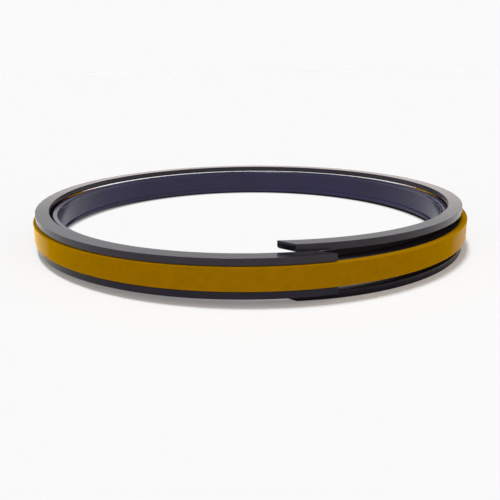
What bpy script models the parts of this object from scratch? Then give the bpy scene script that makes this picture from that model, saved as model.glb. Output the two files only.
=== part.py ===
"""Compact piston seal set, lying free: rubber energizer, filled-PTFE slide ring, two split backup rings.

The set is for a groove 16 mm wide in a piston of 200 mm bore. Its axis is +Z. The origin is on the
slide ring's axis, at the level of the lowest face, where the set rests on a table. Angles are measured
from -Y towards +X, seen from above, so 0 degrees is the front of the set and 90 degrees its right.
All lengths are in metres.
"""
import math

import bmesh
import bpy
from mathutils import Vector

# Bore and running clearances
BORE_RADIUS = 0.100
BORE_CLEARANCE = 0.0003
SEAT_GAP = 0.0003

# Split backup rings, of rectangular section with one large inner chamfer
BACKUP_WIDTH = 0.0059
BACKUP_THICKNESS = 0.00275
BACKUP_EDGE_BREAK = 0.0002
BACKUP_INNER_CHAMFER = 0.0005
SCARF_ANGLE = math.radians(45)

# How the split rings lie once they are off the piston: one end rides over the other
TIP_ANGLE = math.radians(8.2)
END_OVERLAP = math.radians(8.0)
TIP_INSET = 0.0049
CURL_END_ANGLE = math.radians(73)
CURL_POWER = 1.56

# The split rings have slipped to the front and left, so at the back the upper one rides on the lip
SLIP_X = -0.0007
SLIP_Y = -0.0015
RIDE_START_ANGLE = math.radians(165)
RIDE_END_ANGLE = math.radians(235)
SEATED_ANGLE = math.radians(345)

# Slide ring, a plain band, a little larger than the bore until it is pressed in
SLIDE_RING_HEIGHT = 0.0087
SLIDE_RING_THICKNESS = 0.0029
SLIDE_RING_PROUD = 0.0023
SLIDE_RING_EDGE_BREAK = 0.0003

# Energizer, a moulded rubber ring with two sealing lips on its inner wall and a waist between them
LIP_RISE = 0.0021
LIP_WIDTH = 0.0022
LIP_BEAD_RADIUS = 0.0006
WAIST_DEPTH = 0.0006
WAIST_FILLET_RADIUS = 0.0030
ENERGIZER_EDGE_BREAK = 0.0003

# Facets
RING_STEPS = 120
BEAD_STEPS = 4
FILLET_STEPS = 3
SMOOTH_ANGLE = math.radians(30)

# Sizes that follow from those above
BACKUP_OUTER_RADIUS = BORE_RADIUS - BORE_CLEARANCE
BACKUP_INNER_RADIUS = BACKUP_OUTER_RADIUS - BACKUP_WIDTH
BACKUP_MIDDLE_RADIUS = BACKUP_OUTER_RADIUS - BACKUP_WIDTH / 2
SLIDE_RING_OUTER_RADIUS = BACKUP_OUTER_RADIUS + SLIDE_RING_PROUD
SLIDE_RING_INNER_RADIUS = SLIDE_RING_OUTER_RADIUS - SLIDE_RING_THICKNESS
ENERGIZER_OUTER_RADIUS = SLIDE_RING_INNER_RADIUS - SEAT_GAP
LIP_OUTER_RADIUS = BACKUP_INNER_RADIUS - SEAT_GAP
LIP_INNER_RADIUS = LIP_OUTER_RADIUS - LIP_WIDTH
WAIST_RADIUS = LIP_INNER_RADIUS + WAIST_DEPTH
SHOULDER_HEIGHT = SLIDE_RING_HEIGHT / 2
LIP_HEIGHT = SHOULDER_HEIGHT + LIP_RISE
BACKUP_FACE_HEIGHT = SHOULDER_HEIGHT + SEAT_GAP

# Both split rings stand furthest off their seats where their ends overlap
LIFT_PEAK_ANGLE = TIP_ANGLE + END_OVERLAP / 2
LIFT_END_ANGLE = LIFT_PEAK_ANGLE + math.pi
SCARF_HALF_ANGLE = BACKUP_WIDTH / 2 * math.tan(SCARF_ANGLE) / BACKUP_MIDDLE_RADIUS
OVERLAP_REACH = END_OVERLAP / 2 + SCARF_HALF_ANGLE
PEAK_LIFT = (BACKUP_THICKNESS + SEAT_GAP) * 2 / (1 + math.cos(OVERLAP_REACH))

# Clear of the lip all round, the lower ring has slipped half as far and opened by as much
LOWER_SLIP_SHARE = 0.5
LOWER_OPENING = math.hypot(SLIP_X, SLIP_Y) * (1 - LOWER_SLIP_SHARE)

# Heights above the table
MIDDLE_HEIGHT = PEAK_LIFT + BACKUP_THICKNESS + SEAT_GAP + SHOULDER_HEIGHT

# Colours (linear), roughness
OCHRE_PTFE = ((0.27, 0.125, 0.004, 1.0), 0.42)
BLACK_NYLON = ((0.020, 0.019, 0.022, 1.0), 0.38)
BLACK_RUBBER = ((0.016, 0.015, 0.020, 1.0), 0.30)


def clear_scene():
    for old in list(bpy.data.objects):
        bpy.data.objects.remove(old, do_unlink=True)


def make_material(name, look):
    """A Principled material from a colour and a roughness; nothing here is metal."""
    colour, roughness = look
    material = bpy.data.materials.new(name)
    material.use_nodes = True
    shader = material.node_tree.nodes["Principled BSDF"]
    shader.inputs["Base Color"].default_value = colour
    shader.inputs["Roughness"].default_value = roughness
    shader.inputs["Metallic"].default_value = 0.0
    return material


def on_ring(angle, radius, height):
    """A point at an angle from the front, a radius and a height."""
    return Vector((radius * math.sin(angle), -radius * math.cos(angle), height))


def arc(centre_radius, centre_height, radius, start, end, steps):
    """Points of a profile arc, angles in degrees from straight outwards."""
    points = []
    for step in range(steps + 1):
        turn = math.radians(start + (end - start) * step / steps)
        points.append((centre_radius + radius * math.cos(turn), centre_height + radius * math.sin(turn)))
    return points


def mirrored(upper_half):
    """A closed profile from its upper half, which runs from the outer wall over the top to the inner."""
    lower_half = [(radius, -height) for radius, height in reversed(upper_half)]
    return upper_half + lower_half


def energizer_profile():
    """Outer land, shoulder for the backup ring, lip, rounded bead and the fillet into the waist."""
    land = ENERGIZER_OUTER_RADIUS
    upper_half = [
        (land, SHOULDER_HEIGHT - ENERGIZER_EDGE_BREAK),
        (land - ENERGIZER_EDGE_BREAK, SHOULDER_HEIGHT),
        (LIP_OUTER_RADIUS, SHOULDER_HEIGHT),
        (LIP_OUTER_RADIUS, LIP_HEIGHT - ENERGIZER_EDGE_BREAK),
        (LIP_OUTER_RADIUS - ENERGIZER_EDGE_BREAK, LIP_HEIGHT),
    ]
    # The bead and the fillet touch, so their centres lie one radius sum apart
    span = LIP_BEAD_RADIUS + WAIST_FILLET_RADIUS
    turn = math.degrees(math.acos((span - WAIST_DEPTH) / span))
    bead_radius = LIP_INNER_RADIUS + LIP_BEAD_RADIUS
    bead_height = LIP_HEIGHT - LIP_BEAD_RADIUS
    fillet_radius = WAIST_RADIUS - WAIST_FILLET_RADIUS
    fillet_height = bead_height - span * math.sin(math.radians(turn))
    upper_half += arc(bead_radius, bead_height, LIP_BEAD_RADIUS, 90, 180 + turn, BEAD_STEPS)
    upper_half += arc(fillet_radius, fillet_height, WAIST_FILLET_RADIUS, turn, 0, FILLET_STEPS)[1:]
    return mirrored(upper_half)


def slide_ring_profile():
    """A plain rectangle with its four edges broken."""
    outer = SLIDE_RING_OUTER_RADIUS
    inner = SLIDE_RING_INNER_RADIUS
    top = SLIDE_RING_HEIGHT / 2
    cut = SLIDE_RING_EDGE_BREAK
    return mirrored([(outer, top - cut), (outer - cut, top), (inner + cut, top), (inner, top - cut)])


def backup_profile():
    """Heights are above the face that rests on the energizer's shoulder."""
    outer = BACKUP_OUTER_RADIUS
    inner = BACKUP_INNER_RADIUS
    top = BACKUP_THICKNESS
    cut = BACKUP_EDGE_BREAK
    chamfer = BACKUP_INNER_CHAMFER
    return [
        (outer, cut),
        (outer, top - cut),
        (outer - cut, top),
        (inner + cut, top),
        (inner, top - cut),
        (inner, chamfer),
        (inner + chamfer, 0.0),
        (outer - cut, 0.0),
    ]


def eased(start, end, share):
    """A smooth change from start to end, level at both."""
    turn = math.pi * min(max(share, 0.0), 1.0)
    return end + (start - end) * (1 + math.cos(turn)) / 2


def upper_lift(angle):
    """How far the upper ring stands off its seat: down from its free end on to the lip, then off the lip."""
    if angle < RIDE_END_ANGLE:
        run = (angle - LIFT_PEAK_ANGLE) / (RIDE_START_ANGLE - LIFT_PEAK_ANGLE)
        return eased(PEAK_LIFT, LIP_RISE, run)
    return eased(LIP_RISE, 0.0, (angle - RIDE_END_ANGLE) / (SEATED_ANGLE - RIDE_END_ANGLE))


def lower_lift(angle):
    """How far the lower ring stands off its seat: its sprung half is flat and tipped across the set."""
    return eased(PEAK_LIFT, 0.0, abs(angle - LIFT_PEAK_ANGLE) / (LIFT_END_ANGLE - LIFT_PEAK_ANGLE))


def sprung_inset(angle):
    """How far the free end curls in from its seat."""
    left = (CURL_END_ANGLE - angle) / (CURL_END_ANGLE - TIP_ANGLE)
    return TIP_INSET * max(left, 0.0) ** CURL_POWER


def finish_object(name, bm, material, location):
    bmesh.ops.recalc_face_normals(bm, faces=bm.faces)
    mesh = bpy.data.meshes.new(name)
    bm.to_mesh(mesh)
    bm.free()
    mesh.shade_smooth()
    mesh.set_sharp_from_angle(angle=SMOOTH_ANGLE)
    mesh.materials.append(material)
    ring = bpy.data.objects.new(name, mesh)
    ring.location = location
    bpy.context.collection.objects.link(ring)
    return ring


def turned_ring(name, profile, material, location):
    """A continuous ring: its profile spun once round the axis."""
    bm = bmesh.new()
    corners = [bm.verts.new(on_ring(0.0, radius, height)) for radius, height in profile]
    section = bm.faces.new(corners)
    bmesh.ops.spin(
        bm,
        geom=[section, *section.edges, *corners],
        cent=(0, 0, 0),
        axis=(0, 0, 1),
        angle=2 * math.pi,
        steps=RING_STEPS,
        use_merge=True,
    )
    inside = [face for face in bm.faces if len(face.verts) == len(profile)]
    bmesh.ops.delete(bm, geom=inside, context="FACES_ONLY")
    return finish_object(name, bm, material, location)


def split_ring(name, side, lift, opening, material, location):
    """A backup ring, cut once on the bias; side is 1 above the energizer and -1 below it.

    The sweep starts at the free end, which lies over the other by one thickness, and goes round to the
    end that stays in its seat. Each section leans as the two cuts do, so both end faces are parallel.
    The lift is a function of the angle, and the opening is how much wider the ring has sprung all round.
    """
    bm = bmesh.new()
    sections = []
    profile = backup_profile()
    sweep = 2 * math.pi + END_OVERLAP
    for step in range(RING_STEPS + 1):
        middle_angle = TIP_ANGLE + sweep * step / RING_STEPS
        corners = []
        for radius, height in profile:
            lean = (radius - BACKUP_MIDDLE_RADIUS) * math.tan(SCARF_ANGLE) / BACKUP_MIDDLE_RADIUS
            angle = middle_angle + lean
            lifted = side * (BACKUP_FACE_HEIGHT + height + lift(angle))
            corners.append(bm.verts.new(on_ring(angle, radius + opening - sprung_inset(angle), lifted)))
        sections.append(corners)
    for near, far in zip(sections, sections[1:]):
        for index in range(len(profile)):
            following = (index + 1) % len(profile)
            bm.faces.new((near[index], near[following], far[following], far[index]))
    bm.faces.new(sections[0])
    bm.faces.new(sections[-1])
    return finish_object(name, bm, material, location)


def main():
    clear_scene()
    nylon = make_material("black_nylon", BLACK_NYLON)
    rubber = make_material("black_rubber", BLACK_RUBBER)
    ptfe = make_material("ochre_ptfe", OCHRE_PTFE)
    centre = Vector((0.0, 0.0, MIDDLE_HEIGHT))
    slip = Vector((SLIP_X, SLIP_Y, 0.0))
    turned_ring("slide_ring", slide_ring_profile(), ptfe, centre)
    turned_ring("energizer", energizer_profile(), rubber, centre)
    split_ring("upper_backup_ring", 1, upper_lift, 0.0, nylon, centre + slip)
    split_ring("lower_backup_ring", -1, lower_lift, LOWER_OPENING, nylon, centre + slip * LOWER_SLIP_SHARE)


main()
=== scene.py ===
"""Looks for the compact piston seal set: four fine rings, their materials, a pale floor and soft light.

Lengths are in metres in the CAD part's own frame, with the rings' axis along +Z. Angles are measured
from -Y, the front, towards +X, as seen from above.
"""
import math

import bpy
from mathutils import Matrix, Vector


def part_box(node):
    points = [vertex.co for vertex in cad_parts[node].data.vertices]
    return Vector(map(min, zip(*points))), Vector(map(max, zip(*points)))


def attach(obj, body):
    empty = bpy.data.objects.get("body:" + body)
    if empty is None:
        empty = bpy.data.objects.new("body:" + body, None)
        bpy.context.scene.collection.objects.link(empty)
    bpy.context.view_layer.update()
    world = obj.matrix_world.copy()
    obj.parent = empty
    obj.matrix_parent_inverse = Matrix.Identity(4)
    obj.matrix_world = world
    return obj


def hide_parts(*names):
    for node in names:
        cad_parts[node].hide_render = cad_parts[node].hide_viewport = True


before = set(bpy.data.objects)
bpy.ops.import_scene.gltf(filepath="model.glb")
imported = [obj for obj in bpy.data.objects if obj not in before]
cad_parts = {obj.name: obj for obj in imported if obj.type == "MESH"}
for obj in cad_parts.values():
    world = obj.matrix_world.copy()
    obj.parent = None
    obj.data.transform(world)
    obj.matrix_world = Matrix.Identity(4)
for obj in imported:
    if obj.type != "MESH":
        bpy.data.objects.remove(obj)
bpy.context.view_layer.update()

BODY = "root"

# Section of the backup rings, as the CAD part has it, and their clearance to the energizer
BACKUP_OUTER_RADIUS = 0.0997
BACKUP_WIDTH = 0.0059
BACKUP_THICKNESS = 0.00275
BACKUP_EDGE_RADIUS = 0.00012
BACKUP_INNER_CHAMFER = 0.0005
SEAT_GAP = 0.0003

# The backup rings' bias cut, and how far their ends have sprung and slipped
SCARF_ANGLE = math.radians(45)
TIP_ANGLE = math.radians(8.2)
END_OVERLAP = math.radians(8.0)
TIP_INSET = 0.0049
CURL_END_ANGLE = math.radians(73)
CURL_POWER = 1.56
RIDE_START_ANGLE = math.radians(165)
RIDE_END_ANGLE = math.radians(235)
SEATED_ANGLE = math.radians(345)
SLIP = Vector((-0.0007, -0.0015, 0.0))
LOWER_SLIP_SHARE = 0.5

# Sections of the slide ring and the energizer, as the CAD part has them
SLIDE_RING_THICKNESS = 0.0029
SLIDE_RING_EDGE_RADIUS = 0.00025
LIP_RISE = 0.0021
LIP_WIDTH = 0.0022
LIP_BEAD_RADIUS = 0.0006
WAIST_DEPTH = 0.0006
WAIST_FILLET_RADIUS = 0.0030
RUBBER_EDGE_RADIUS = 0.0003

# Fineness of the meshes; a point at the distance HOLD beside each arc keeps the next face flat
RING_STEPS = 720
CORNER_STEPS = 4
BEAD_STEPS = 10
FILLET_STEPS = 6
HOLD = 0.00006
SMOOTH_ANGLE = math.radians(40)

# Sizes read from the frame
SLIDE_LOW, SLIDE_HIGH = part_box("slide_ring")
ENERGIZER_LOW, ENERGIZER_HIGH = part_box("energizer")
LOWER_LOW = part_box("lower_backup_ring")[0]
CENTRE = (SLIDE_LOW + SLIDE_HIGH) / 2
SLIDE_RING_OUTER_RADIUS = (SLIDE_HIGH.x - SLIDE_LOW.x) / 2
SLIDE_RING_HEIGHT = SLIDE_HIGH.z - SLIDE_LOW.z
ENERGIZER_OUTER_RADIUS = (ENERGIZER_HIGH.x - ENERGIZER_LOW.x) / 2

# Sizes that follow from those above
LOWER_OPENING = SLIP.length * (1 - LOWER_SLIP_SHARE)
BACKUP_INNER_RADIUS = BACKUP_OUTER_RADIUS - BACKUP_WIDTH
BACKUP_MIDDLE_RADIUS = BACKUP_OUTER_RADIUS - BACKUP_WIDTH / 2
SLIDE_RING_INNER_RADIUS = SLIDE_RING_OUTER_RADIUS - SLIDE_RING_THICKNESS
LIP_OUTER_RADIUS = BACKUP_INNER_RADIUS - SEAT_GAP
LIP_INNER_RADIUS = LIP_OUTER_RADIUS - LIP_WIDTH
WAIST_RADIUS = LIP_INNER_RADIUS + WAIST_DEPTH
SHOULDER_HEIGHT = SLIDE_RING_HEIGHT / 2
LIP_HEIGHT = SHOULDER_HEIGHT + LIP_RISE
BACKUP_FACE_HEIGHT = SHOULDER_HEIGHT + SEAT_GAP
LIFT_PEAK_ANGLE = TIP_ANGLE + END_OVERLAP / 2
LIFT_END_ANGLE = LIFT_PEAK_ANGLE + math.pi
SCARF_HALF_ANGLE = BACKUP_WIDTH / 2 * math.tan(SCARF_ANGLE) / BACKUP_MIDDLE_RADIUS
OVERLAP_REACH = END_OVERLAP / 2 + SCARF_HALF_ANGLE
PEAK_LIFT = (BACKUP_THICKNESS + SEAT_GAP) * 2 / (1 + math.cos(OVERLAP_REACH))

# Settings that are the same all over each material
NYLON_SHADER = {
    "IOR": 1.46,
    "Metallic": 0.0,
    "Sheen Weight": 0.20,
    "Sheen Roughness": 0.25,
    "Sheen Tint": (1.0, 0.75, 0.62, 1.0),
    "Specular Tint": (1.0, 0.90, 0.87, 1.0),
    "Coat Roughness": 0.15,
    "Coat IOR": 1.5,
    "Coat Tint": (1.0, 0.86, 0.80, 1.0),
}
RUBBER_SHADER = {
    "IOR": 1.52,
    "Metallic": 0.0,
}
PTFE_SHADER = {
    "IOR": 1.34,
    "Metallic": 0.0,
    "Sheen Weight": 0.85,
    "Sheen Roughness": 0.42,
    "Sheen Tint": (1.0, 0.55, 0.0, 1.0),
}

# Colours between which each material is mottled, and the energizer's plain colour outward of its lip,
# where its gloss is taken out as painted shade under the rings
NYLON_COLOURS = ((0.012, 0.012, 0.021), (0.016, 0.015, 0.028))
RUBBER_COLOURS = ((0.009, 0.006, 0.046), (0.012, 0.008, 0.060))
RUBBER_SEAT_SHADE_COLOUR = (0.032, 0.029, 0.038, 1.0)
PTFE_COLOURS = ((0.295, 0.145, 0.0001), (0.335, 0.164, 0.0002))

# Noises, each by its scale, detail and roughness; turning marks are stretched along the ring
NYLON_MARKS = (9000.0, 2.0, 0.6)
NYLON_CLOUD = (180.0, 3.0, 0.5)
RUBBER_GRAIN = (2200.0, 2.0, 0.5)
RUBBER_CLOUD = (60.0, 3.0, 0.5)
PTFE_MARKS = (6000.0, 2.0, 0.6)
PTFE_CLOUD = (320.0, 4.0, 0.55)
NOISE_RANGE = (0.3, 0.7)
MARKS_ALONG_SCALE = 0.01

# Roughness from and to, and bumps by their distance and strength
NYLON_ROUGHNESS = (0.17, 0.23)
RUBBER_ROUGHNESS = (0.13, 0.19)
PTFE_ROUGHNESS = (0.20, 0.28)
NYLON_BUMP = (0.000012, 0.25)
RUBBER_BUMP = (0.000010, 0.2)
PTFE_BUMP = (0.000015, 0.25)

# Gloss: where it begins and ends, and its strength there
# The nylon's gloss is low below the middle of the set, on the lower ring: painted shade, darkening it
# as the shaded table in front of it would
NYLON_LOW_GLOSS = 0.17
NYLON_HIGH_GLOSS = 0.42
NYLON_GLOSS_HALF_DEPTH = 0.002
NYLON_COAT_UPNESS = (0.4, 0.8)
NYLON_COAT_SLANT = (0.78, 0.84)
NYLON_COAT_WEIGHT = 0.8
RUBBER_GLOSS = 0.36
RUBBER_MATT_BLEND = 0.0006
PTFE_GLOSS_UPNESS = (0.1, 0.5)
PTFE_GLOSS_SLANT = (0.68, 0.88)
PTFE_GLOSS = 0.10
EVEN_FACING_BLEND = 0.5

# The camera of the photograph, from the middle of the slide ring
CAMERA_PLACE = Vector((-0.00022, -0.29561, 0.06698))
CAMERA_PITCH = math.radians(16.24)
CAMERA_ROLL = math.radians(-0.57)
CAMERA_NEAR = 0.01
CAMERA_FAR = 50.0
FOCAL_PIXELS = 606.7
FRAME_PIXELS = 500
SENSOR = 36.0

# Light: a soft lamp overhead and a room that is brighter in front, which add up to 1 on the floor
ROOM_SHARE = 0.36
ROOM_COLOUR = (1.0, 0.84, 0.72)
ROOM_SLOPE = 1.25
ROOM_FRONT = Vector((0.15, -0.989, 0.0))
LAMP_ANGLE = math.radians(12)
LAMP_FROM = Vector((-0.12, 0.02, 1.0))
LAMP_ENERGY = math.pi

# The white of the room and the table, and how far the camera sees the table overexposed
WHITE = 0.955
FLOOR_HALF_SIDE = 6.0
FLOOR_LIFT = 0.20
INNER_FLOOR_LIFT = 1.0
INNER_FLOOR_RADIUS = 0.091
INNER_FLOOR_BLEND = 0.004


def on_ring(angle, radius, height):
    """A point at an angle from the front, a radius and a height."""
    return (radius * math.sin(angle), -radius * math.cos(angle), height)


def arc(centre, radius, start, end, steps):
    """Points of an arc in the section plane, angles in degrees from straight outwards."""
    points = []
    for step in range(steps + 1):
        turn = math.radians(start + (end - start) * step / steps)
        points.append((centre[0] + radius * math.cos(turn), centre[1] + radius * math.sin(turn)))
    return points


def rounded(corners):
    """A closed section from its corners (radius, height, rounding), each rounded by an arc."""
    points = []
    count = len(corners)
    for index, (x, y, rounding) in enumerate(corners):
        here = Vector((x, y))
        before = Vector(corners[index - 1][:2]) - here
        after = Vector(corners[(index + 1) % count][:2]) - here
        before.normalize()
        after.normalize()
        half = before.angle(after) / 2
        reach = rounding / math.tan(half)
        centre = here + (before + after).normalized() * rounding / math.sin(half)
        start = here + before * reach - centre
        end = here + after * reach - centre
        points.append(here + before * (reach + HOLD))
        for step in range(CORNER_STEPS + 1):
            points.append(centre + start.slerp(end, step / CORNER_STEPS) * rounding)
        points.append(here + after * (reach + HOLD))
    return [(point[0], point[1]) for point in points]


def mirrored(upper_half):
    """A closed section from its upper half."""
    return upper_half + [(radius, -height) for radius, height in reversed(upper_half)]


def slide_ring_section():
    """A plain band with its edges broken."""
    top = SLIDE_RING_HEIGHT / 2
    inner = SLIDE_RING_INNER_RADIUS
    outer = SLIDE_RING_OUTER_RADIUS
    edge = SLIDE_RING_EDGE_RADIUS
    return rounded([(outer, -top, edge), (outer, top, edge), (inner, top, edge), (inner, -top, edge)])


def backup_section():
    """A rectangle with a chamfer low at its inner side; heights are above its seated face."""
    outer = BACKUP_OUTER_RADIUS
    inner = BACKUP_INNER_RADIUS
    top = BACKUP_THICKNESS
    edge = BACKUP_EDGE_RADIUS
    chamfer = BACKUP_INNER_CHAMFER
    return rounded([
        (outer, 0.0, edge),
        (outer, top, edge),
        (inner, top, edge),
        (inner, chamfer, edge),
        (inner + chamfer, 0.0, edge),
    ])


def energizer_section():
    """Outer land, shoulder, lip, rounded bead and the fillet into the waist."""
    land = ENERGIZER_OUTER_RADIUS
    edge = RUBBER_EDGE_RADIUS
    upper_half = []
    upper_half += [(land, SHOULDER_HEIGHT - edge - HOLD)]
    upper_half += arc((land - edge, SHOULDER_HEIGHT - edge), edge, 0, 90, CORNER_STEPS)
    upper_half += [(land - edge - HOLD, SHOULDER_HEIGHT)]
    upper_half += [(LIP_OUTER_RADIUS + edge + HOLD, SHOULDER_HEIGHT)]
    upper_half += arc((LIP_OUTER_RADIUS + edge, SHOULDER_HEIGHT + edge), edge, 270, 180, CORNER_STEPS)
    upper_half += arc((LIP_OUTER_RADIUS - edge, LIP_HEIGHT - edge), edge, 0, 90, CORNER_STEPS)
    upper_half += [(LIP_OUTER_RADIUS - edge - HOLD, LIP_HEIGHT)]
    span = LIP_BEAD_RADIUS + WAIST_FILLET_RADIUS
    turn = math.degrees(math.acos((span - WAIST_DEPTH) / span))
    bead = (LIP_INNER_RADIUS + LIP_BEAD_RADIUS, LIP_HEIGHT - LIP_BEAD_RADIUS)
    fillet = (WAIST_RADIUS - WAIST_FILLET_RADIUS, bead[1] - span * math.sin(math.radians(turn)))
    upper_half += [(bead[0] + HOLD, LIP_HEIGHT)]
    upper_half += arc(bead, LIP_BEAD_RADIUS, 90, 180 + turn, BEAD_STEPS)
    upper_half += arc(fillet, WAIST_FILLET_RADIUS, turn, 0, FILLET_STEPS)[1:]
    upper_half += [(WAIST_RADIUS, fillet[1] - HOLD)]
    return mirrored(upper_half)


def eased(start, end, share):
    """A smooth change from start to end, level at both."""
    turn = math.pi * min(max(share, 0.0), 1.0)
    return end + (start - end) * (1 + math.cos(turn)) / 2


def upper_lift(angle):
    """How far the upper ring stands off its seat: at its free end, on the lip, then down again."""
    if angle < RIDE_END_ANGLE:
        run = (angle - LIFT_PEAK_ANGLE) / (RIDE_START_ANGLE - LIFT_PEAK_ANGLE)
        return eased(PEAK_LIFT, LIP_RISE, run)
    return eased(LIP_RISE, 0.0, (angle - RIDE_END_ANGLE) / (SEATED_ANGLE - RIDE_END_ANGLE))


def lower_lift(angle):
    """How far the lower ring stands off its seat: its sprung half is flat and tipped across the set."""
    return eased(PEAK_LIFT, 0.0, abs(angle - LIFT_PEAK_ANGLE) / (LIFT_END_ANGLE - LIFT_PEAK_ANGLE))


def sprung_inset(angle):
    """How far the free end of a split ring curls in from its seat."""
    left = (CURL_END_ANGLE - angle) / (CURL_END_ANGLE - TIP_ANGLE)
    return TIP_INSET * max(left, 0.0) ** CURL_POWER


def finish_piece(name, sections, closed, centre, slot):
    """A piece from its rows of points, either round a full ring or capped at both ends."""
    width = len(sections[0])
    verts = [point for section in sections for point in section]
    faces = []
    rows = len(sections)
    for row in range(rows if closed else rows - 1):
        here = row * width
        there = (row + 1) % rows * width
        for index in range(width):
            following = (index + 1) % width
            faces.append((here + index, there + index, there + following, here + following))
    if not closed:
        last = (rows - 1) * width
        faces.append(tuple(range(width)))
        faces.append(tuple(last + index for index in reversed(range(width))))
    mesh = bpy.data.meshes.new(name)
    mesh.from_pydata(verts, [], faces)
    mesh.update()
    mesh.shade_smooth()
    mesh.set_sharp_from_angle(angle=SMOOTH_ANGLE)
    piece = bpy.data.objects.new(name, mesh)
    piece.location = centre
    bpy.context.scene.collection.objects.link(piece)
    mesh.materials.append(MATERIALS[slot])
    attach(piece, BODY)
    return piece


def turned_ring(name, section, centre, slot):
    """A continuous ring with its section spun round the axis."""
    sections = []
    for step in range(RING_STEPS):
        angle = 2 * math.pi * step / RING_STEPS
        sections.append([on_ring(angle, radius, height) for radius, height in section])
    return finish_piece(name, sections, True, centre, slot)


def shrunk(section, amount):
    """The section drawn in towards its middle, for the broken edge round a cut end."""
    middle_radius = sum(point[0] for point in section) / len(section)
    middle_height = sum(point[1] for point in section) / len(section)
    half_width = BACKUP_WIDTH / 2
    half_height = BACKUP_THICKNESS / 2
    shrunk_points = []
    for radius, height in section:
        shrunk_points.append((
            middle_radius + (radius - middle_radius) * (1 - amount / half_width),
            middle_height + (height - middle_height) * (1 - amount / half_height),
        ))
    return shrunk_points


def split_ring(name, side, lift, opening, centre, slot):
    """A backup ring cut once on the bias; side is 1 above the energizer and -1 below it."""
    section = backup_section()
    edge = BACKUP_EDGE_RADIUS
    edge_angle = edge / BACKUP_MIDDLE_RADIUS
    sweep = 2 * math.pi + END_OVERLAP
    inner_sweep = sweep - 2 * edge_angle
    stations = [(0.0, shrunk(section, edge))]
    for step in range(RING_STEPS + 1):
        stations.append((edge_angle + inner_sweep * step / RING_STEPS, section))
    stations.append((sweep, shrunk(section, edge)))
    sections = []
    for along, points in stations:
        row = []
        for radius, height in points:
            lean = (radius - BACKUP_MIDDLE_RADIUS) * math.tan(SCARF_ANGLE) / BACKUP_MIDDLE_RADIUS
            angle = TIP_ANGLE + along + lean
            lifted = side * (BACKUP_FACE_HEIGHT + height + lift(angle))
            row.append(on_ring(angle, radius + opening - sprung_inset(angle), lifted))
        sections.append(row if side > 0 else row[::-1])
    return finish_piece(name, sections, False, centre, slot)


def new_material(name, settings):
    """A material with settings for its shader's own sockets, and its nodes and links."""
    material = bpy.data.materials.new(name)
    material.use_nodes = True
    nodes = material.node_tree.nodes
    for socket, value in settings.items():
        nodes["Principled BSDF"].inputs[socket].default_value = value
    return material, nodes, material.node_tree.links


def object_vector(nodes):
    """The shaded point in the piece's own coordinates."""
    return nodes.new("ShaderNodeTexCoord").outputs["Object"]


def axis_of(nodes, links, vector, axis):
    """The X, Y or Z of a vector."""
    split = nodes.new("ShaderNodeSeparateXYZ")
    links.new(vector, split.inputs[0])
    return split.outputs[axis]


def vector_math(nodes, links, operation, vector):
    """A Vector Math node with its first input linked."""
    node = nodes.new("ShaderNodeVectorMath")
    node.operation = operation
    links.new(vector, node.inputs[0])
    return node


def across_axis(nodes, links):
    """The shaded point's place across the rings' axis, without its height."""
    flat = vector_math(nodes, links, "MULTIPLY", object_vector(nodes))
    flat.inputs[1].default_value = (1.0, 1.0, 0.0)
    return flat.outputs[0]


def radius_from_axis(nodes, links):
    """The shaded point's distance from the rings' axis."""
    return vector_math(nodes, links, "LENGTH", across_axis(nodes, links)).outputs["Value"]


def ring_coordinates(nodes, links):
    """Coordinates for marks that run round a ring: they change fast across it and slowly along it."""
    joined = nodes.new("ShaderNodeCombineXYZ")
    links.new(radius_from_axis(nodes, links), joined.inputs[0])
    links.new(axis_of(nodes, links, object_vector(nodes), "Z"), joined.inputs[1])
    scaled = vector_math(nodes, links, "SCALE", across_axis(nodes, links))
    scaled.inputs["Scale"].default_value = MARKS_ALONG_SCALE
    summed = vector_math(nodes, links, "ADD", joined.outputs[0])
    links.new(scaled.outputs[0], summed.inputs[1])
    return summed.outputs[0]


def noise(nodes, links, vector, scale, detail, roughness):
    """A noise texture's value, mostly between the ends of NOISE_RANGE."""
    texture = nodes.new("ShaderNodeTexNoise")
    texture.inputs["Scale"].default_value = scale
    texture.inputs["Detail"].default_value = detail
    texture.inputs["Roughness"].default_value = roughness
    links.new(vector, texture.inputs["Vector"])
    return texture.outputs["Fac"]


def ranged(nodes, links, value, span, low, high, curve="LINEAR"):
    """A value that goes from low to high over a span, and is held at the ends outside it."""
    node = nodes.new("ShaderNodeMapRange")
    node.interpolation_type = curve
    node.inputs["From Min"].default_value = span[0]
    node.inputs["From Max"].default_value = span[1]
    node.inputs["To Min"].default_value = low
    node.inputs["To Max"].default_value = high
    links.new(value, node.inputs["Value"])
    return node.outputs["Result"]


def combined(nodes, links, operation, first, second):
    """Two values put together by a Math node."""
    node = nodes.new("ShaderNodeMath")
    node.operation = operation
    links.new(first, node.inputs[0])
    links.new(second, node.inputs[1])
    return node.outputs[0]


def colour_mix(nodes, links, factor):
    """A Mix node for two colours with its factor linked."""
    mix = nodes.new("ShaderNodeMix")
    mix.data_type = "RGBA"
    links.new(factor, mix.inputs["Factor"])
    return mix


def mottled(nodes, links, value, colours):
    """A colour between two, by a noise."""
    mix = colour_mix(nodes, links, ranged(nodes, links, value, NOISE_RANGE, 0.0, 1.0))
    mix.inputs["A"].default_value = (*colours[0], 1.0)
    mix.inputs["B"].default_value = (*colours[1], 1.0)
    return mix.outputs["Result"]


def bump(nodes, links, height, distance, strength):
    """A normal bent by a height."""
    node = nodes.new("ShaderNodeBump")
    node.inputs["Distance"].default_value = distance
    node.inputs["Strength"].default_value = strength
    links.new(height, node.inputs["Height"])
    return node.outputs["Normal"]


def at_a_slant(nodes, links, span, low, high):
    """A value that goes from low to high as the surface turns away from the eye."""
    weight = nodes.new("ShaderNodeLayerWeight")
    weight.inputs["Blend"].default_value = EVEN_FACING_BLEND
    return ranged(nodes, links, weight.outputs["Facing"], span, low, high)


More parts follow.
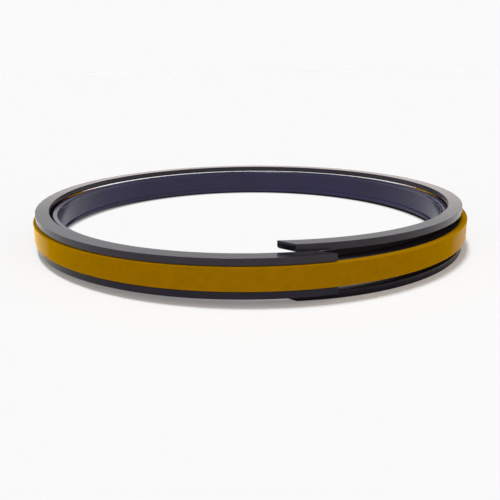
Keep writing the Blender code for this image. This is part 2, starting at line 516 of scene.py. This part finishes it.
def by_upness(nodes, links, span, low, high):
    """A value that goes from low to high as the surface turns from upright to level."""
    normal = nodes.new("ShaderNodeNewGeometry").outputs["Normal"]
    return ranged(nodes, links, axis_of(nodes, links, normal, "Z"), span, low, high)


def nylon():
    """Black nylon: satin, with fine turning marks and a glaze on level faces seen at a slant."""
    material, nodes, links = new_material("black_nylon", NYLON_SHADER)
    sockets = nodes["Principled BSDF"].inputs
    marks = noise(nodes, links, ring_coordinates(nodes, links), *NYLON_MARKS)
    cloud = noise(nodes, links, object_vector(nodes), *NYLON_CLOUD)
    links.new(mottled(nodes, links, cloud, NYLON_COLOURS), sockets["Base Color"])
    links.new(ranged(nodes, links, marks, NOISE_RANGE, *NYLON_ROUGHNESS), sockets["Roughness"])
    # Less gloss on the lower ring than on the upper: painted shade for the shaded table in front of it
    position = nodes.new("ShaderNodeNewGeometry").outputs["Position"]
    depth = (CENTRE.z - NYLON_GLOSS_HALF_DEPTH, CENTRE.z + NYLON_GLOSS_HALF_DEPTH)
    height = axis_of(nodes, links, position, "Z")
    gloss = ranged(nodes, links, height, depth, NYLON_LOW_GLOSS, NYLON_HIGH_GLOSS)
    links.new(gloss, sockets["Specular IOR Level"])
    level = by_upness(nodes, links, NYLON_COAT_UPNESS, 0.0, 1.0)
    slanted = at_a_slant(nodes, links, NYLON_COAT_SLANT, 0.0, NYLON_COAT_WEIGHT)
    links.new(combined(nodes, links, "MULTIPLY", level, slanted), sockets["Coat Weight"])
    links.new(bump(nodes, links, marks, *NYLON_BUMP), sockets["Normal"])
    return material


def rubber():
    """Black nitrile rubber: a moulded satin skin; outward of the lip, under the rings that sit on it,
    its gloss is taken out and its colour made plain, as painted shade.
    """
    material, nodes, links = new_material("black_rubber", RUBBER_SHADER)
    sockets = nodes["Principled BSDF"].inputs
    grain = noise(nodes, links, object_vector(nodes), *RUBBER_GRAIN)
    cloud = noise(nodes, links, object_vector(nodes), *RUBBER_CLOUD)
    links.new(ranged(nodes, links, grain, NOISE_RANGE, *RUBBER_ROUGHNESS), sockets["Roughness"])
    # Outward of the lip the gloss goes to nothing and the colour turns plain grey: painted shade under
    # the rings that sit there
    lip_edge = (LIP_OUTER_RADIUS - RUBBER_MATT_BLEND, LIP_OUTER_RADIUS)
    seat = ranged(nodes, links, radius_from_axis(nodes, links), lip_edge, 0.0, 1.0)
    links.new(ranged(nodes, links, seat, NOISE_RANGE, RUBBER_GLOSS, 0.0), sockets["Specular IOR Level"])
    skin = colour_mix(nodes, links, seat)
    links.new(mottled(nodes, links, cloud, RUBBER_COLOURS), skin.inputs["A"])
    skin.inputs["B"].default_value = RUBBER_SEAT_SHADE_COLOUR
    links.new(skin.outputs["Result"], sockets["Base Color"])
    links.new(bump(nodes, links, grain, *RUBBER_BUMP), sockets["Normal"])
    return material


def ptfe():
    """Ochre filled PTFE: waxy, faintly mottled, with a gloss on upright faces seen at a slant."""
    material, nodes, links = new_material("ochre_ptfe", PTFE_SHADER)
    sockets = nodes["Principled BSDF"].inputs
    marks = noise(nodes, links, ring_coordinates(nodes, links), *PTFE_MARKS)
    cloud = noise(nodes, links, object_vector(nodes), *PTFE_CLOUD)
    links.new(mottled(nodes, links, cloud, PTFE_COLOURS), sockets["Base Color"])
    links.new(ranged(nodes, links, marks, NOISE_RANGE, *PTFE_ROUGHNESS), sockets["Roughness"])
    upright = by_upness(nodes, links, PTFE_GLOSS_UPNESS, 1.0, 0.0)
    slanted = at_a_slant(nodes, links, PTFE_GLOSS_SLANT, 0.0, PTFE_GLOSS)
    links.new(combined(nodes, links, "MULTIPLY", upright, slanted), sockets["Specular IOR Level"])
    links.new(bump(nodes, links, marks, *PTFE_BUMP), sockets["Normal"])
    return material


def make_rings():
    """The four rings, each standing for its CAD node."""
    slide_ring = turned_ring("slide_ring_fine", slide_ring_section(), CENTRE, "ochre_ptfe")
    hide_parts("slide_ring")
    energizer = turned_ring("energizer_fine", energizer_section(), CENTRE, "black_rubber")
    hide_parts("energizer")
    upper = split_ring("upper_backup_ring_fine", 1, upper_lift, 0.0, CENTRE + SLIP, "black_nylon")
    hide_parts("upper_backup_ring")
    centre = CENTRE + SLIP * LOWER_SLIP_SHARE
    lower = split_ring("lower_backup_ring_fine", -1, lower_lift, LOWER_OPENING, centre, "black_nylon")
    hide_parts("lower_backup_ring")


def floor_height(x, y):
    """The table's height in the set's frame: the sprung half of the lower ring lies flat on it."""
    forward = (x - CENTRE.x) * math.sin(LIFT_PEAK_ANGLE) - (y - CENTRE.y) * math.cos(LIFT_PEAK_ANGLE)
    return LOWER_LOW.z + PEAK_LIFT / 2 * (1 - forward / BACKUP_OUTER_RADIUS)


def make_floor():
    """A matt white table. To the camera it is a little overexposed, and inside the rings wholly so."""
    side = FLOOR_HALF_SIDE
    corners = [(-side, -side), (side, -side), (side, side), (-side, side)]
    mesh = bpy.data.meshes.new("table")
    mesh.from_pydata([(x, y, floor_height(x, y)) for x, y in corners], [], [(0, 1, 2, 3)])
    table = bpy.data.objects.new("table", mesh)
    bpy.context.scene.collection.objects.link(table)
    matt_white = {
        "Base Color": (WHITE, WHITE, WHITE, 1.0),
        "Roughness": 1.0,
        "Specular IOR Level": 0.0,
    }
    material, nodes, links = new_material("pale_table", matt_white)
    inner_edge = (INNER_FLOOR_RADIUS, INNER_FLOOR_RADIUS + INNER_FLOOR_BLEND)
    radius = radius_from_axis(nodes, links)
    lift = ranged(nodes, links, radius, inner_edge, INNER_FLOOR_LIFT, FLOOR_LIFT, "SMOOTHSTEP")
    to_camera = nodes.new("ShaderNodeLightPath").outputs["Is Camera Ray"]
    white = nodes.new("ShaderNodeEmission")
    white.inputs["Color"].default_value = (WHITE, WHITE, WHITE, 1.0)
    mix = nodes.new("ShaderNodeMixShader")
    links.new(combined(nodes, links, "MULTIPLY", to_camera, lift), mix.inputs[0])
    links.new(nodes["Principled BSDF"].outputs[0], mix.inputs[1])
    links.new(white.outputs[0], mix.inputs[2])
    links.new(mix.outputs[0], nodes["Material Output"].inputs["Surface"])
    mesh.materials.append(material)


def make_room():
    """The room lights matt surfaces softly, most from the front; directly or in a gloss it is white."""
    world = bpy.data.worlds.new("room")
    bpy.context.scene.world = world
    world.use_nodes = True
    nodes = world.node_tree.nodes
    links = world.node_tree.links
    ray = nodes.new("ShaderNodeLightPath").outputs
    seen = combined(nodes, links, "MAXIMUM", ray["Is Camera Ray"], ray["Is Glossy Ray"])
    direction = nodes.new("ShaderNodeTexCoord").outputs["Generated"]
    front = vector_math(nodes, links, "DOT_PRODUCT", direction)
    front.inputs[1].default_value = ROOM_FRONT
    lit = (-1.0 / ROOM_SLOPE, 1.0)
    level = ranged(nodes, links, front.outputs["Value"], lit, 0.0, ROOM_SHARE * (1 + ROOM_SLOPE))
    room = nodes.new("ShaderNodeVectorMath")
    room.operation = "SCALE"
    room.inputs[0].default_value = ROOM_COLOUR
    links.new(level, room.inputs["Scale"])
    mix = colour_mix(nodes, links, seen)
    links.new(room.outputs[0], mix.inputs["A"])
    mix.inputs["B"].default_value = (WHITE, WHITE, WHITE, 1.0)
    links.new(mix.outputs["Result"], nodes["Background"].inputs["Color"])


def make_lamp():
    """The soft lamp overhead, in the colour that the room leaves it."""
    lamp = bpy.data.lights.new("overhead_softbox", "SUN")
    lamp.angle = LAMP_ANGLE
    lamp.energy = LAMP_ENERGY
    lamp.color = [1 - channel * ROOM_SHARE for channel in ROOM_COLOUR]
    overhead = bpy.data.objects.new("overhead_softbox", lamp)
    overhead.rotation_euler = LAMP_FROM.to_track_quat("Z", "Y").to_euler()
    bpy.context.scene.collection.objects.link(overhead)


def make_camera():
    """The photograph's camera, pitched down and rolled a little."""
    place = CENTRE + CAMERA_PLACE
    level_up = Vector((0.0, math.sin(CAMERA_PITCH), math.cos(CAMERA_PITCH)))
    level_right = Vector((1.0, 0.0, 0.0))
    right = level_right * math.cos(CAMERA_ROLL) + level_up * math.sin(CAMERA_ROLL)
    up = level_up * math.cos(CAMERA_ROLL) - level_right * math.sin(CAMERA_ROLL)
    back = right.cross(up)
    data = bpy.data.cameras.new("photo_camera")
    data.sensor_width = SENSOR
    data.lens = SENSOR * FOCAL_PIXELS / FRAME_PIXELS
    data.clip_start = CAMERA_NEAR
    data.clip_end = CAMERA_FAR
    camera = bpy.data.objects.new("photo_camera", data)
    camera.matrix_world = Matrix.Translation(place) @ Matrix((right, up, back)).transposed().to_4x4()
    bpy.context.scene.collection.objects.link(camera)
    bpy.context.scene.camera = camera


MATERIALS = {"black_nylon": nylon(), "black_rubber": rubber(), "ochre_ptfe": ptfe()}
make_rings()
make_floor()
make_room()
make_lamp()
make_camera()
bpy.context.scene.view_settings.view_transform = "Standard"
